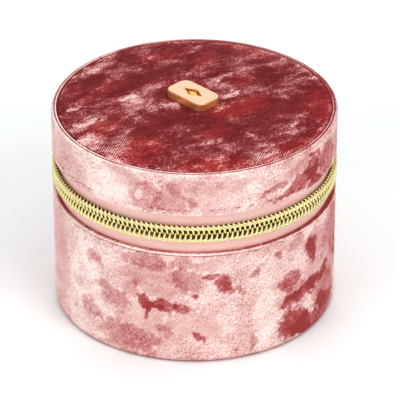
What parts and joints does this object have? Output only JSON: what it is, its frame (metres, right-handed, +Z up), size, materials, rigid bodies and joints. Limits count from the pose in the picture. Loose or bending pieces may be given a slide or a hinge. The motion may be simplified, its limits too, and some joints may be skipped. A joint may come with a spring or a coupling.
{
  "type": "round zip-around vanity case",
  "caption": "Round velvet-covered vanity case with a padded hinged lid, a gold zip all round, a metal plaque on top and a mirror inside the lid.",
  "frame": {"origin": "centre of the round underside, on the surface it stands on", "axes": "+Z up out of the lid; -Y to the front, where the lid lifts; +Y to the hinge; +X to the side of the hinge where the slider is parked when the zip is closed"},
  "size_m": [0.101, 0.1005, 0.0788],
  "materials": {
    "velvet_side": "matte",
    "velvet_top": "matte",
    "lining": "matte",
    "bottom_cloth": "matte",
    "greyboard": "matte",
    "foam": "matte",
    "mirror": "polished",
    "rose_gold": "polished",
    "steel": "satin",
    "zip_tape": "matte",
    "gold_coil": "gloss",
    "gold_thread": "satin",
    "gold_metal": "polished"
  },
  "bodies": {
    "base": {"base_bottom_cover": "bottom_cloth", "base_bottom_card": "greyboard", "base_floor_board": "greyboard", "base_wall_board": "greyboard", "base_side_velvet": "velvet_side", "base_wall_foam": "foam", "base_liner_card": "greyboard", "base_liner_fabric": "lining", "base_pad_card": "greyboard", "base_pad_foam": "foam", "base_pad_fabric": "lining", "zip_lower_tape": "zip_tape", "zip_lower_coil": "gold_coil", "zip_lower_stitching": "gold_thread", "hinge_velvet": "velvet_side", "hinge_lining": "lining"},
    "lid": {"lid_wall_board": "greyboard", "lid_top_board": "greyboard", "lid_side_velvet": "velvet_side", "lid_top_foam": "foam", "lid_top_velvet": "velvet_top", "lid_wall_foam": "foam", "lid_liner_card": "greyboard", "lid_liner_fabric": "lining", "lid_ceiling_foam": "foam", "lid_ceiling_card": "greyboard", "mirror_glass": "mirror", "mirror_frame_foam": "foam", "mirror_frame": "lining", "badge": "rose_gold", "badge_washers": "steel", "zip_upper_tape": "zip_tape", "zip_upper_coil": "gold_coil", "zip_upper_stitching": "gold_thread"},
    "slider": {"slider_body": "gold_metal", "slider_back_plate": "gold_metal"},
    "link": {"pull_link": "gold_metal"},
    "tab": {"pull_tab": "gold_metal"}
  },
  "joints": [
    {"name": "lid_hinge", "type": "hinge", "parent": "base", "child": "lid", "pos_m": [0, 0.0485, 0.052], "axis": [-1, 0, 0], "range_deg": [0, 105], "deforming": ["hinge_velvet", "hinge_lining"]},
    {"name": "slider_travel", "type": "hinge", "parent": "base", "child": "slider", "pos_m": [0, 0, 0.052], "axis": [0, 0, -1], "range_deg": [0, 290.8]},
    {"name": "link_swing", "type": "hinge", "parent": "slider", "child": "link", "pos_m": [0.03095, 0.04486, 0.052], "axis": [0.8231, -0.5678, 0], "range_deg": [-3, 85]},
    {"name": "tab_swing", "type": "hinge", "parent": "link", "child": "tab", "pos_m": [0.03095, 0.04486, 0.04765], "axis": [0.5678, 0.8231, 0], "range_deg": [-45, 45]}
  ]
}
